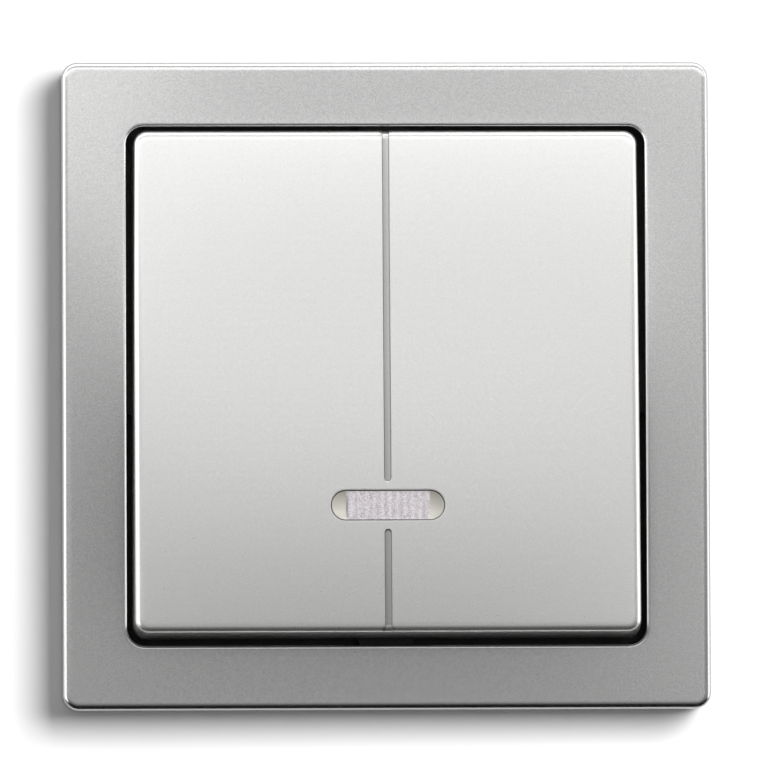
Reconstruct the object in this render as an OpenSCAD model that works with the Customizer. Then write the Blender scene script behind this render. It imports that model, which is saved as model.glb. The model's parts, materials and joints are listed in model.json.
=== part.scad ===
// Flush-mounted rocker wall switch: steel cover frame, one-piece rocker with an indicator lens,
// and the two-way insert with its claws behind the wall.
// Every module draws in plan: x to the right, y up the wall, z the height above the wall face,
// so that z below 0 lies inside the wall box. on_wall() then stands the plan upright.

/* [Cover frame] */
// Width of the steel band on each side of the window
frame_band = 8; // [7:0.1:14]
// Height of the frame's front face above the wall
frame_h = 8.5; // [8:0.1:12]
// Corner radius of the frame's outline
frame_corner_r = 1.8; // [1.2:0.1:5]
// Radius rolled onto the frame's outer front edge
frame_edge_r = 0.7; // [0.3:0.1:0.9]
// Thickness of the pressed steel sheet
sheet_t = 1; // [0.6:0.1:1.4]
// Depth of the flange that is turned in around the window
window_flange = 3; // [2:0.1:4]
// Corner radius of the window
window_r = 2.2; // [1.5:0.1:4]

/* [Rocker] */
// Width and height of the rocker
rocker_w = 63.3; // [60:0.1:80]
// Depth of the rocker cover from its face to the end of its skirt
rocker_depth = 6.5; // [5.5:0.1:7.2]
// Wall of the rocker cover
rocker_wall = 1.5; // [1.2:0.1:1.8]
// Corner radius of the rocker
rocker_corner_r = 1.7; // [1.2:0.1:4]
// Radius of the rocker's front edge
rocker_edge_r = 1.1; // [0.4:0.1:1.2]
// Gap between the rocker and the window on each side
rocker_gap = 0.65; // [0.6:0.05:1.5]
// How far the level rocker stands proud of the frame
rocker_proud = 2.2; // [1.5:0.1:3.5]
// Tilt from level at which the rocker rests, in degrees
rest_tilt = 4; // [2:0.1:5]
// Width of the groove that divides the face
groove_w = 0.8; // [0.5:0.1:1.4]
// Depth of that groove
groove_depth = 0.45; // [0.2:0.05:0.7]

/* [Indicator] */
// Length of the lens window
lens_w = 14.2; // [8:0.1:18]
// Height of the lens window
lens_h = 3.8; // [3:0.1:5]
// Distance of the lens below the middle of the rocker
lens_drop = 15.6; // [14.5:0.1:17]
// Solid face between the lens and each end of the groove
groove_land = 1.1; // [0.6:0.1:3]

/* [Insert] */
// Width and height of the support ring
ring_w = 71; // [68:0.5:76]
// Thickness of the support ring
ring_t = 1.2; // [1:0.1:1.5]
// Distance between the wall box's two fixing screws
box_pitch = 60; // [60:0.1:62]
// Width of the insert's body
base_w = 40; // [38:0.5:42]
// Height of the insert's body
base_l = 46; // [44:0.5:48]
// Depth of the insert's body behind the wall face
base_depth = 24; // [23:0.5:34]
// Thickness of the rear cover that holds the wire entries
rear_t = 2; // [1.6:0.1:3]
// Side walls of the insert's body
base_wall = 1.8; // [1.2:0.1:2.2]
// Radius of each wire entry in the back
wire_r = 1.9; // [1.6:0.05:2]
// Travel of each release button
release_travel = 1.2; // [0.6:0.1:1.5]

/* [Claws] */
// Distance of each claw screw from the middle
claw_x = 23.6; // [23:0.1:24]
// Radius of the claw screw's thread
claw_screw_r = 1.5; // [1.25:0.05:1.6]
// Travel of the claw nut along its screw
claw_travel = 5; // [3:0.1:5.5]

/* [Hidden] */
$fn = 48;
eps = 0.01;
fit = 0.1;

// Frame and rocker, worked out from the rocker's size
window_w = rocker_w + 2 * rocker_gap;
frame_w = window_w + 2 * frame_band;
face_z = frame_h + rocker_proud;
under_z = face_z - rocker_wall;
pivot_drop = 7.5;
pivot_z = face_z - pivot_drop;

// Carrier under the steel frame
carrier_lip_t = 0.4;
carrier_lip_at = 0.4;
carrier_wall = 1.2;
carrier_cap_top = 3.6;
skirt_relief = [5, 9];
skirt_floor = ring_t + carrier_lip_t + 0.3;
skirt_rise = carrier_cap_top + 0.3 - face_z + rocker_depth + rocker_w / 2 * sin(rest_tilt);
peg_l = 4;
peg_at = 22;
ring_corner_r = 5;

// Cradle that carries the rocker cover
cradle_size = [34, 42];
cradle_t = 1.8;
cradle_top = under_z - fit;
cheek_x = 13.4;
cheek_t = 2;
cheek_r = 1.9;
trunnion_r = 1.3;
trunnion_l = 3;
running = 0.05;
snap_r = 1.5;
snap_at = [13, 14];
boss_r = 3.2;
boss_bore_r = 2;
boss_end = pivot_z - 6;
boss_roof = cradle_top - cradle_t - 1;
cheek_pocket_gap = 0.3;

// Lens
lens_flange = 1.1;
lens_flange_t = 0.9;
lens_proud = 0.05;
lens_window = [lens_w + 2 * lens_flange + 1, lens_h + 2 * lens_flange + 1];

// Snap-over mechanism
nose_r = 1.5;
nose_reach = 10.5;
bridge_drop = 13.6;
bridge_z = pivot_z - bridge_drop;
bridge_ratio = 2;
bridge_t = 1.2;
bridge_face = bridge_drop - nose_reach - nose_r - fit;
bridge_size = [5, 24];
bridge_pin_r = 0.8;
bridge_pin_l = 8.4;
tip_r = 1.5;
tip_t = 0.8;
tip_y = 10;
tip_gap = 0.08;
tongue_top = bridge_face - bridge_t - 2 * tip_t - tip_gap;
plunger_top = boss_end + 3.4;
spring_wire_r = 0.22;
spring_coil_r = 1.55;
spring_turns = 8;
spring_sides = 8;
spring_steps = 20;

// Insert body
cover_t = 1;
cover_top = ring_t + cover_t;
neck_size = [34, 42];
neck_r = 2;
flange_size = [base_w - 2, base_l - 1];
base_chamfer = 4;
base_back = rear_t - base_depth;
rib_t = 1.4;
bay_x = 6;
bay_in = bay_x + rib_t;
bay_out = base_w / 2 - base_wall;
bay_y = base_l / 2 - base_wall;
bulkhead = 1.9;
boss_window = [2 * boss_r + 1, 2 * boss_r + 2];
body_screw_x = 10.7;
body_screw_r = 1.2;
body_screw_head_r = 2;
body_screw_head_t = 1.4;
body_screw_l = 10;
drive_slot = [0.6, 0.7];
ear_x = cheek_x + cheek_t + 0.3;
ear_t = 2.6;
ear_r = 2.2;

// Terminals: a bar, a link and a tongue of the same brass strip
strip_t = 0.8;
bar_y = bay_y - 2.5;
wire_seat = 1.5;
wire_y = bar_y - strip_t / 2 - wire_seat;
terminal_x = (bay_in + bay_out) / 2;
wire_x = [terminal_x - 2.6, terminal_x + 2.6];
link_x = bay_in + fit;
strip_z = bridge_z - 4;
tongue_w = 4;
bar_top = strip_z + 2.4;
bar_bottom = base_back + 0.4;
common_cheek_x = bridge_size.x / 2 + 0.5;
common_cheek_r = 1.6;
common_y = 2.6;
clamp_t = 0.4;
clamp_w = 3.4;
clamp_loop_r = 1.2;
clamp_y = bar_y - 8.1;
clamp_z = bar_top + 3.5;
clamp_drop = 7;
button_size = [6, 2.8];
button_y = wire_y - 4.6;
button_out = 1.5;
button_top = clamp_z - 3.6 - release_travel;
button_flange = [0.7, 0.8];

// Lamp
lamp_size = [7.6, 4.6];
lamp_top = cover_top + 1.2;
lamp_bottom = -6;
lamp_collar = [1, 0.8];
led_r = 1.5;
led_seat = 1;
led_rise = 1.2;
lamp_pin_x = 2;
lamp_pin_r = 0.5;
lamp_pin_l = 3.5;
lamp_tongue = [1.4, 2];

// Claws
claw_screw_head_r = 2.3;
claw_screw_head_t = 1.7;
claw_screw_end = -19;
claw_nut = [4.2, 6, 3];
claw_nut_z = -claw_travel - claw_nut.z;
claw_sheet = 1;
claw_arm_y = claw_nut.y / 2 + 0.3;
claw_eye_r = 2.2;
claw_pin_r = 1;
claw_pin_l = 1.2;
claw_tail = 12.5;
claw_web_x = 2.3;
claw_web_top = 1.7;
claw_teeth = 4;
claw_tooth_l = 1.2;
slot_r = 1.8;
slot_l = 7.6;
box_screw_head_r = 3.3;

// ---- Shared shapes ----

module on_wall() {
    rotate([90, 0, 0]) children();
}

// A rectangle about the origin with round corners
module round_rect(size, r) {
    square([size.x - 2 * r, size.y], center = true);
    square([size.x, size.y - 2 * r], center = true);
    for (sx = [-1, 1], sy = [-1, 1])
        translate([sx * (size.x / 2 - r), sy * (size.y / 2 - r)]) circle(r);
}

// A slab from z 0 up to h
module slab(size, r, h) {
    linear_extrude(h) round_rect(size, r);
}

// A slab whose front edge is rounded all the way round
module soft_slab(size, corner_r, edge_r, h) {
    inner = size - 2 * [edge_r, edge_r];
    slab(size, corner_r, h - edge_r);
    slab(inner, corner_r - edge_r, h);
    for (s = [-1, 1]) {
        translate([0, s * inner.y / 2, h - edge_r]) rotate([0, 90, 0])
            cylinder(r = edge_r, h = size.x - 2 * corner_r, center = true);
        translate([s * inner.x / 2, 0, h - edge_r]) rotate([90, 0, 0])
            cylinder(r = edge_r, h = size.y - 2 * corner_r, center = true);
    }
    for (sx = [-1, 1], sy = [-1, 1])
        translate([sx * (size.x / 2 - corner_r), sy * (size.y / 2 - corner_r), h - edge_r])
            rotate_extrude() intersection() {
                translate([corner_r - edge_r, 0]) circle(edge_r);
                translate([0, -edge_r]) square([corner_r, 2 * edge_r]);
            }
}

// A round-ended bar about the origin, l long in x and w high
module obround(l, w) {
    square([l - w, w], center = true);
    for (s = [-1, 1]) translate([s * (l - w) / 2, 0]) circle(w / 2);
}

module box_from(low, high) {
    translate(low) cube(high - low);
}

// Sets what is drawn in the level rocker's plan at its rest tilt
module tilted() {
    translate([0, 0, pivot_z]) rotate([-rest_tilt, 0, 0]) translate([0, 0, -pivot_z]) children();
}

// Sets what is drawn about the bridge's own pin at the bridge's angle, side 1 is at rest
module bridge_turned(side = 1) {
    translate([0, 0, bridge_z]) rotate([side * bridge_ratio * rest_tilt, 0, 0]) children();
}

// A rod along x between two stations
module rod_x(x0, x1, r) {
    translate([x0, 0, 0]) rotate([0, 90, 0]) cylinder(r = r, h = x1 - x0);
}

// The insert body's outline with its four cut corners
module base_outline() {
    w = base_w / 2;
    l = base_l / 2;
    c = base_chamfer;
    polygon([[w - c, l], [w, l - c], [w, c - l], [w - c, -l], [c - w, -l], [-w, c - l], [-w, l - c],
        [c - w, l]]);
}

// Repeats what is drawn in the upper right quarter for each of the four terminals
module each_quarter() {
    for (sx = [0, 1], sy = [0, 1]) mirror([sx, 0, 0]) mirror([0, sy, 0]) children();
}

// ---- Frame ----

module cover_frame() {
    cavity = frame_w - 2 * sheet_t;
    flange = window_w + 2 * sheet_t;
    color("#bdbdbb") on_wall() difference() {
        soft_slab([frame_w, frame_w], frame_corner_r, frame_edge_r, frame_h);
        difference() {
            translate([0, 0, -1])
                slab([cavity, cavity], frame_corner_r - sheet_t + 0.1, frame_h - sheet_t + 1);
            translate([0, 0, frame_h - window_flange])
                slab([flange, flange], window_r + sheet_t, window_flange);
        }
        translate([0, 0, -1]) slab([window_w, window_w], window_r, frame_h + 2);
    }
}

// Black moulding that the steel frame clips over, with eight pegs into the support ring
module frame_carrier() {
    outer = frame_w - 2 * sheet_t - 2 * fit;
    inner = window_w + 2 * sheet_t + 2 * fit;
    foot = inner + 2 * carrier_wall;
    mouth = box_pitch + 2 * carrier_lip_at;
    top = frame_h - sheet_t;
    color("#1a1a1c") on_wall() {
        difference() {
            union() {
                translate([0, 0, top - carrier_wall]) slab([outer, outer], frame_corner_r, carrier_wall);
                translate([0, 0, ring_t])
                    slab([foot, foot], window_r + sheet_t + carrier_wall, top - ring_t);
            }
            difference() {
                union() {
                    translate([0, 0, ring_t + carrier_lip_t])
                        slab([inner, inner], window_r + sheet_t + fit, frame_h);
                    translate([0, 0, -1]) slab([mouth, mouth], window_r, frame_h);
                }
                screw_head_room(0.6, carrier_cap_top);
            }
            screw_head_room(0, carrier_cap_top - carrier_lip_t);
        }
        carrier_pegs(0);
    }
}

// Room up to the height top for the heads of the fixing screws, or with a wall the caps over them
module screw_head_room(wall, top) {
    for (a = [0, 90, 180, 270]) rotate(a) translate([box_pitch / 2, 0, ring_t - 1])
        cylinder(r = box_screw_head_r + wall, h = top - ring_t + 1);
}

// The pegs, or with a gap the holes that take them
module carrier_pegs(gap) {
    peg_x = window_w / 2 + sheet_t + fit;
    for (a = [0, 90, 180, 270], s = [-1, 1]) rotate(a)
        box_from([peg_x - gap, s * peg_at - peg_l / 2 - gap, -gap],
            [peg_x + carrier_wall + gap, s * peg_at + peg_l / 2 + gap, ring_t + gap]);
}

module support_ring() {
    color("#a9adb0") on_wall() difference() {
        slab([ring_w, ring_w], ring_corner_r, ring_t);
        translate([0, 0, -1]) slab(neck_size + 2 * [fit, fit], neck_r, ring_t + 2);
        for (a = [0, 90, 180, 270]) rotate(a) translate([box_pitch / 2, 0, -1])
            linear_extrude(ring_t + 2) obround(slot_l, 2 * slot_r);
        for (s = [-1, 1]) translate([s * claw_x, 0, -1])
            cylinder(r = claw_screw_r + fit, h = ring_t + 2);
        carrier_pegs(fit);
    }
}

// ---- Rocker ----

module rocker_cover() {
    cavity = rocker_w - 2 * rocker_wall;
    bottom = face_z - rocker_depth;
    color("#c9c8c4") on_wall() tilted() {
        difference() {
            translate([0, 0, bottom])
                soft_slab([rocker_w, rocker_w], rocker_corner_r, rocker_edge_r, rocker_depth);
            translate([0, 0, bottom - 1])
                slab([cavity, cavity], rocker_corner_r - 1, under_z - bottom + 1);
            translate([0, -lens_drop, under_z - 1])
                linear_extrude(rocker_wall + 2) obround(lens_w, lens_h);
            face_groove();
            translate([0, 0, bottom]) rotate([90, 0, 0]) linear_extrude(rocker_w + 2, center = true)
                polygon([[-skirt_relief.y, -1], [-skirt_relief.y, 0], [-skirt_relief.x, skirt_rise],
                    [skirt_relief.x, skirt_rise], [skirt_relief.y, 0], [skirt_relief.y, -1]]);
            for (s = [-1, 1]) translate([0, 0, pivot_z]) rotate([s * rest_tilt, 0, 0])
                box_from([-rocker_w, -rocker_w, -frame_h], [rocker_w, rocker_w, skirt_floor - pivot_z]);
        }
        for (sx = [-1, 1], sy = [-1, 1])
            translate([sx * snap_at.x, sy * snap_at.y, cradle_top - cradle_t])
                cylinder(r = snap_r, h = under_z - cradle_top + cradle_t + eps);
    }
}

// The groove in two stretches, with a round end on each side of the lens
module face_groove() {
    upper = lens_h / 2 + groove_land - lens_drop;
    lower = -lens_drop - lens_h / 2 - groove_land;
    run = rocker_w / 2 + groove_w;
    translate([0, 0, face_z - groove_depth]) linear_extrude(groove_depth + 1) {
        translate([0, (upper + run) / 2]) rotate(90) obround(run - upper, groove_w);
        translate([0, (lower - run) / 2]) rotate(90) obround(lower + run, groove_w);
    }
}

module indicator_lens() {
    color("#b9b6ae", 0.7) on_wall() tilted() translate([0, -lens_drop, 0]) {
        translate([0, 0, under_z - lens_flange_t]) linear_extrude(lens_flange_t - eps)
            obround(lens_w + 2 * lens_flange, lens_h + 2 * lens_flange);
        translate([0, 0, under_z - lens_flange_t]) linear_extrude(lens_flange_t + rocker_wall + lens_proud)
            obround(lens_w - fit, lens_h - fit);
    }
}

module rocker_cradle() {
    underside = cradle_top - cradle_t;
    color("#e8e6e0") on_wall() tilted() difference() {
        union() {
            translate([0, 0, underside]) slab(cradle_size, neck_r, cradle_t);
            translate([0, 0, boss_end]) cylinder(r = boss_r, h = underside - boss_end + eps);
            for (s = [0, 1]) mirror([s, 0, 0]) {
                box_from([cheek_x, -cheek_r, pivot_z], [cheek_x + cheek_t, cheek_r, underside + eps]);
                translate([0, 0, pivot_z]) rod_x(cheek_x, cheek_x + cheek_t, cheek_r);
                translate([0, 0, pivot_z])
                    rod_x(cheek_x + cheek_t - eps, cheek_x + cheek_t + trunnion_l, trunnion_r);
            }
        }
        translate([0, 0, boss_end - 1]) cylinder(r = boss_bore_r, h = boss_roof - boss_end + 1);
        translate([0, -lens_drop, underside - 1]) slab(lens_window, 1, cradle_t + 2);
        for (sx = [-1, 1], sy = [-1, 1]) translate([sx * snap_at.x, sy * snap_at.y, underside - 1])
            cylinder(r = snap_r + fit, h = cradle_t + 2);
    }
}

module toggle_plunger() {
    nose_z = pivot_z - nose_reach;
    guide = 2.4;
    color("#d9d4c3") on_wall() tilted() {
        translate([0, 0, boss_end - guide])
            cylinder(r = boss_bore_r - running, h = plunger_top - boss_end + guide);
        translate([0, 0, nose_z]) cylinder(r = nose_r, h = boss_end - guide - nose_z + eps);
        translate([0, 0, nose_z]) sphere(nose_r);
        translate([0, 0, plunger_top - eps]) cylinder(r = spring_coil_r - 2 * spring_wire_r, h = 1.2);
    }
}

// Rings of the coil spring, one every few degrees along its turns
function coil_ring(t, low, high) = let (a = 360 * spring_turns * t, z = low + (high - low) * t)
    [for (i = [0:spring_sides - 1]) let (b = 360 * i / spring_sides,
        r = spring_coil_r + spring_wire_r * cos(b)) [r * cos(a), r * sin(a), z + spring_wire_r * sin(b)]];

module toggle_spring() {
    low = plunger_top + spring_wire_r + 0.02;
    high = boss_roof - spring_wire_r - 0.02;
    count = spring_turns * spring_steps;
    rings = [for (k = [0:count]) each coil_ring(k / count, low, high)];
    n = spring_sides;
    skin = [for (k = [0:count - 1], i = [0:n - 1]) let (j = (i + 1) % n)
        [k * n + i, (k + 1) * n + i, (k + 1) * n + j, k * n + j]];
    ends = [[for (i = [0:n - 1]) i], [for (i = [n - 1:-1:0]) count * n + i]];
    color("#9a9c9e") on_wall() tilted() polyhedron(rings, concat(skin, ends));
}

// ---- Contacts ----

module contact_bridge() {
    color("#b98a4a") on_wall() bridge_turned() {
        translate([-bridge_size.x / 2, -bridge_size.y / 2, bridge_face - bridge_t])
            cube([bridge_size.x, bridge_size.y, bridge_t]);
        rod_x(-bridge_pin_l / 2, bridge_pin_l / 2, bridge_pin_r);
    }
}

module bridge_contacts() {
    color("#d8d8d4") on_wall() bridge_turned() for (s = [-1, 1])
        translate([0, s * tip_y, bridge_face - bridge_t - tip_t]) cylinder(r = tip_r, h = tip_t);
}

module fixed_contact_tips() {
    color("#d8d8d4") on_wall() for (s = [-1, 1]) bridge_turned(s)
        translate([0, -s * tip_y, tongue_top]) cylinder(r = tip_r, h = tip_t);
}

// The bar that a wire is clamped against, in the upper right quarter
module terminal_bar() {
    box_from([link_x, bar_y - strip_t / 2, bar_bottom], [bay_out - 0.3, bar_y + strip_t / 2, bar_top]);
}

// A strip beside the rib, from the bar in to the height y
module terminal_link(y, low, high) {
    box_from([link_x, y, low], [link_x + strip_t, bar_y, high]);
}

// The tongue that carries a fixed tip, side 1 is the lower one
module fixed_tongue(side) {
    bridge_turned(side) translate([0, -side * tip_y, 0])
        box_from([-tip_r - 0.4, -tongue_w / 2, tongue_top - strip_t],
            [link_x + strip_t / 2, tongue_w / 2, tongue_top]);
}

// The spring tongue under one lamp pin, drawn on the right
module lamp_tongue() {
    top = lamp_bottom - lamp_pin_l;
    box_from([lamp_tongue.x, -lens_drop - lamp_tongue.y / 2, top - strip_t],
        [link_x + strip_t / 2, -lens_drop + lamp_tongue.y / 2, top]);
}

module common_contact() {
    color("#c9a24a") on_wall() mirror([1, 0, 0]) {
        terminal_bar();
        terminal_link(common_y, strip_z - strip_t, bar_top);
        box_from([-common_cheek_x - strip_t, common_y, strip_z - strip_t],
            [link_x + strip_t / 2, common_y + tongue_w - 1, strip_z]);
        box_from([-common_cheek_x - strip_t, -common_cheek_r, strip_z - strip_t],
            [common_cheek_x + strip_t, common_y + eps, strip_z]);
        for (s = [0, 1]) mirror([s, 0, 0]) difference() {
            union() {
                box_from([common_cheek_x, -common_cheek_r, strip_z - eps],
                    [common_cheek_x + strip_t, common_cheek_r, bridge_z]);
                translate([0, 0, bridge_z]) rod_x(common_cheek_x, common_cheek_x + strip_t, common_cheek_r);
            }
            translate([0, 0, bridge_z])
                rod_x(common_cheek_x - 1, common_cheek_x + strip_t + 1, bridge_pin_r + running);
        }
    }
}

module upper_contact() {
    color("#c9a24a") on_wall() {
        terminal_bar();
        terminal_link(tip_y - tongue_w / 2, strip_z - strip_t, bar_top);
        fixed_tongue(-1);
    }
}

module lower_contact() {
    color("#c9a24a") on_wall() {
        mirror([0, 1, 0]) {
            terminal_bar();
            terminal_link(tip_y - tongue_w / 2, strip_z - strip_t, bar_top);
            terminal_link(lens_drop - lamp_tongue.y / 2, strip_z, lamp_bottom - lamp_pin_l);
        }
        fixed_tongue(1);
        lamp_tongue();
    }
}

module neutral_contact() {
    color("#c9a24a") on_wall() mirror([1, 0, 0]) {
        mirror([0, 1, 0]) {
            terminal_bar();
            terminal_link(lens_drop - lamp_tongue.y / 2, bar_top - 2, lamp_bottom - lamp_pin_l);
        }
        lamp_tongue();
    }
}

// One leaf spring: a loop, a straight leg and a leg that leans on the bar
module clamp_spring() {
    reach = bar_y - strip_t / 2 - fit - clamp_y;
    mid = clamp_loop_r - clamp_t / 2;
    lean = atan2(reach - mid - clamp_t / 2, clamp_drop);
    rotate([90, 0, 90]) linear_extrude(clamp_w, center = true) {
        difference() {
            circle(clamp_loop_r);
            circle(clamp_loop_r - clamp_t);
            translate([-2 * clamp_loop_r, -4 * clamp_loop_r]) square(4 * clamp_loop_r);
        }
        translate([-clamp_loop_r, -clamp_drop]) square([clamp_t, clamp_drop + eps]);
        translate([mid - clamp_t / 2, 0]) rotate(lean) translate([0, -clamp_drop / cos(lean)])
            square([clamp_t, clamp_drop / cos(lean) + clamp_t / 2]);
    }
}

module clamp_springs() {
    color("#8f9296") on_wall() each_quarter() for (x = wire_x)
        translate([x, clamp_y, clamp_z]) clamp_spring();
}

// ---- Insert ----

module insert_cover() {
    color("#f2f0ea") on_wall() difference() {
        union() {
            slab(neck_size, neck_r, cover_top);
            translate([0, 0, ring_t]) slab(flange_size, neck_r, cover_t);
            for (s = [0, 1]) mirror([s, 0, 0]) {
                box_from([ear_x, -ear_r, ring_t], [ear_x + ear_t, ear_r, pivot_z]);
                intersection() {
                    translate([0, 0, pivot_z]) rod_x(ear_x, ear_x + ear_t, ear_r);
                    box_from([ear_x, -ear_r, ring_t], [ear_x + ear_t, ear_r, pivot_z + ear_r]);
                }
            }
        }
        translate([0, 0, -1]) slab(boss_window, 1, cover_top + 2);
        translate([0, -lens_drop, -1]) slab(lamp_size + 2 * [fit, fit], 0.4, cover_top + 2);
        for (s = [0, 1]) mirror([s, 0, 0]) {
            translate([0, 0, pivot_z]) rod_x(ear_x - 1, ear_x + ear_t + 1, trunnion_r + running);
            box_from([cheek_x - cheek_pocket_gap, -cheek_r - 0.4, pivot_z - cheek_r - cheek_pocket_gap],
                [ear_x, cheek_r + 0.4, pivot_z + ear_r]);
            translate([body_screw_x, 0, -1]) cylinder(r = body_screw_r + fit, h = cover_top + 2);
            translate([body_screw_x, 0, cover_top - body_screw_head_t])
                cylinder(r = body_screw_head_r + fit, h = body_screw_head_t + 1);
        }
    }
}

module insert_base() {
    color("#f2f0ea") on_wall() difference() {
        translate([0, 0, base_back]) linear_extrude(-base_back) base_outline();
        box_from([-bay_x, -bay_y, base_back - 1], [bay_x, bay_y, 1]);
        each_quarter() difference() {
            box_from([bay_in, bulkhead, base_back - 1], [bay_out, bay_y, 1]);
            translate([base_w / 2, base_l / 2, base_back - 2]) rotate(45)
                cube([4 * base_wall, 2 * base_chamfer + 2 * base_wall, 2 * base_depth], center = true);
        }
        for (s = [-1, 1]) translate([s * body_screw_x, 0, -body_screw_l - 1])
            cylinder(r = body_screw_r + running, h = body_screw_l + 2);
        for (s = [-1, 1]) rib_slot([1, s], tip_y, tongue_w + 1, bridge_z - 1);
        rib_slot([-1, 1], common_y + tongue_w / 2 - 0.5, tongue_w, strip_z + 0.4);
        for (s = [-1, 1]) rib_slot([s, -1], lens_drop, lamp_tongue.y + 0.6, lamp_bottom - lamp_pin_l + 0.4);
    }
}

// A slot in the rib through which a tongue is pushed in from the back
module rib_slot(side, y, w, top) {
    x = side.x * (bay_x + rib_t / 2);
    translate([x - rib_t, side.y * y - w / 2, base_back - 1]) cube([2 * rib_t, w, top - base_back + 1]);
}

module rear_cover() {
    color("#e4e2dc") on_wall() difference() {
        translate([0, 0, -base_depth]) linear_extrude(rear_t) base_outline();
        each_quarter() {
            for (x = wire_x) translate([x, wire_y, -base_depth - 1]) cylinder(r = wire_r, h = rear_t + 2);
            translate([terminal_x, button_y, -base_depth - 1])
                slab(button_size + 2 * [fit, fit], 0.5, rear_t + 2);
        }
    }
}

module body_screws() {
    color("#b4b6b8") on_wall() for (s = [-1, 1]) translate([s * body_screw_x, 0, 0])
        screw(cover_top, body_screw_head_t, body_screw_head_r, body_screw_r, -body_screw_l);
}

// A slotted cheese-head screw with its head's top at z top and its tip at z tip
module screw(top, head_t, head_r, r, tip) {
    difference() {
        union() {
            translate([0, 0, top - head_t]) cylinder(r = head_r, h = head_t);
            translate([0, 0, tip]) cylinder(r = r, h = top - head_t - tip + eps);
        }
        translate([0, 0, top]) cube([2 * head_r + 1, drive_slot.x, 2 * drive_slot.y], center = true);
    }
}

// The release button of the quarter on the given sides
module release_button(side) {
    outer = button_size + 2 * [button_flange.x, button_flange.x];
    color("#9fa3a6") on_wall() translate([side.x * terminal_x, side.y * button_y, 0]) {
        translate([0, 0, -base_depth - button_out])
            slab(button_size, 0.5, button_top + base_depth + button_out);
        translate([0, 0, base_back + fit]) slab(outer, 0.5, button_flange.y);
    }
}

module release_button_common() {
    release_button([-1, 1]);
}

module release_button_neutral() {
    release_button([-1, -1]);
}

module release_button_upper() {
    release_button([1, 1]);
}

module release_button_lower() {
    release_button([1, -1]);
}

// ---- Claws ----

// The claw's strip seen from the side, with its teeth at the free end
module claw_tail_outline() {
    half = claw_arm_y + claw_sheet;
    step = 2 * half / claw_teeth;
    polygon(concat([[-half, -claw_web_top], [-half, claw_tooth_l - claw_tail]],
        [for (i = [0:claw_teeth - 1], p = [[0.5, 0], [1, 1]])
            [-half + (i + p.x) * step, p.y * claw_tooth_l - claw_tail]],
        [[half, -claw_web_top]]));
}

module claw(side) {
    web = claw_web_x + claw_sheet;
    color("#a9adb0") on_wall() mirror([side < 0 ? 1 : 0, 0, 0]) translate([claw_x, 0, claw_nut_z]) {
        translate([claw_web_x, 0, 0]) rotate([90, 0, 90]) linear_extrude(claw_sheet) claw_tail_outline();
        for (s = [0, 1]) mirror([0, s, 0]) difference() {
            union() {
                box_from([-1, claw_arm_y, -claw_tail / 2], [web, claw_arm_y + claw_sheet, -1]);
                translate([0, claw_arm_y + claw_sheet, 0]) rotate([90, 0, 0])
                    cylinder(r = claw_eye_r, h = claw_sheet);
            }
            rotate([90, 0, 0]) cylinder(r = claw_pin_r + running, h = 4 * claw_nut.y, center = true);
        }
    }
}

module claw_nut(side) {
    color("#b4b6b8") on_wall() translate([side * claw_x, 0, claw_nut_z]) difference() {
        union() {
            cube(claw_nut, center = true);
            rotate([90, 0, 0]) cylinder(r = claw_pin_r, h = claw_nut.y + 2 * claw_pin_l, center = true);
        }
        cylinder(r = claw_screw_r + running, h = 2 * claw_nut.z, center = true);
    }
}

module claw_screw(side) {
    color("#b4b6b8") on_wall() translate([side * claw_x, 0, 0])
        screw(ring_t + claw_screw_head_t, claw_screw_head_t, claw_screw_head_r, claw_screw_r,
            claw_screw_end);
}

module claw_left() {
    claw(-1);
}

module claw_right() {
    claw(1);
}

module claw_nut_left() {
    claw_nut(-1);
}

module claw_nut_right() {
    claw_nut(1);
}

module claw_screw_left() {
    claw_screw(-1);
}

module claw_screw_right() {
    claw_screw(1);
}

// ---- Lamp ----

module lamp_housing() {
    color("#d8d6d0") on_wall() translate([0, -lens_drop, 0]) difference() {
        union() {
            translate([0, 0, lamp_bottom]) slab(lamp_size, 0.4, lamp_top - lamp_bottom);
            translate([0, 0, cover_top])
                slab(lamp_size + 2 * [lamp_collar.x, lamp_collar.x], 0.4, lamp_collar.y);
        }
        translate([0, 0, lamp_top - led_seat]) cylinder(r = led_r + running, h = led_seat + 1);
    }
}

module lamp_diode() {
    color("#e8f0d8", 0.8) on_wall() translate([0, -lens_drop, lamp_top - led_seat]) {
        cylinder(r = led_r, h = led_seat + led_rise);
        translate([0, 0, led_seat + led_rise]) sphere(led_r);
    }
}

module lamp_pins() {
    color("#c9a24a") on_wall() for (s = [-1, 1])
        translate([s * lamp_pin_x, -lens_drop, lamp_bottom - lamp_pin_l])
            cylinder(r = lamp_pin_r, h = lamp_pin_l);
}

cover_frame();
frame_carrier();
rocker_cover();
indicator_lens();
rocker_cradle();
toggle_plunger();
toggle_spring();
contact_bridge();
bridge_contacts();
support_ring();
insert_cover();
insert_base();
rear_cover();
body_screws();
common_contact();
upper_contact();
lower_contact();
neutral_contact();
fixed_contact_tips();
clamp_springs();
release_button_common();
release_button_neutral();
release_button_upper();
release_button_lower();
claw_left();
claw_right();
claw_nut_left();
claw_nut_right();
claw_screw_left();
claw_screw_right();
lamp_housing();
lamp_diode();
lamp_pins();
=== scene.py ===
"""Flush-mounted rocker wall switch: steel frame, silver rocker with a ribbed lens, and its insert.

Shapes are worked out in plan: x to the right, y up the wall, z the height above the wall face.
upright() stands a plan point in the row frame, where the switch faces -Y.
"""
import json
import math

import bmesh
import bpy
import numpy as np
from mathutils import Matrix, Vector

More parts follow.
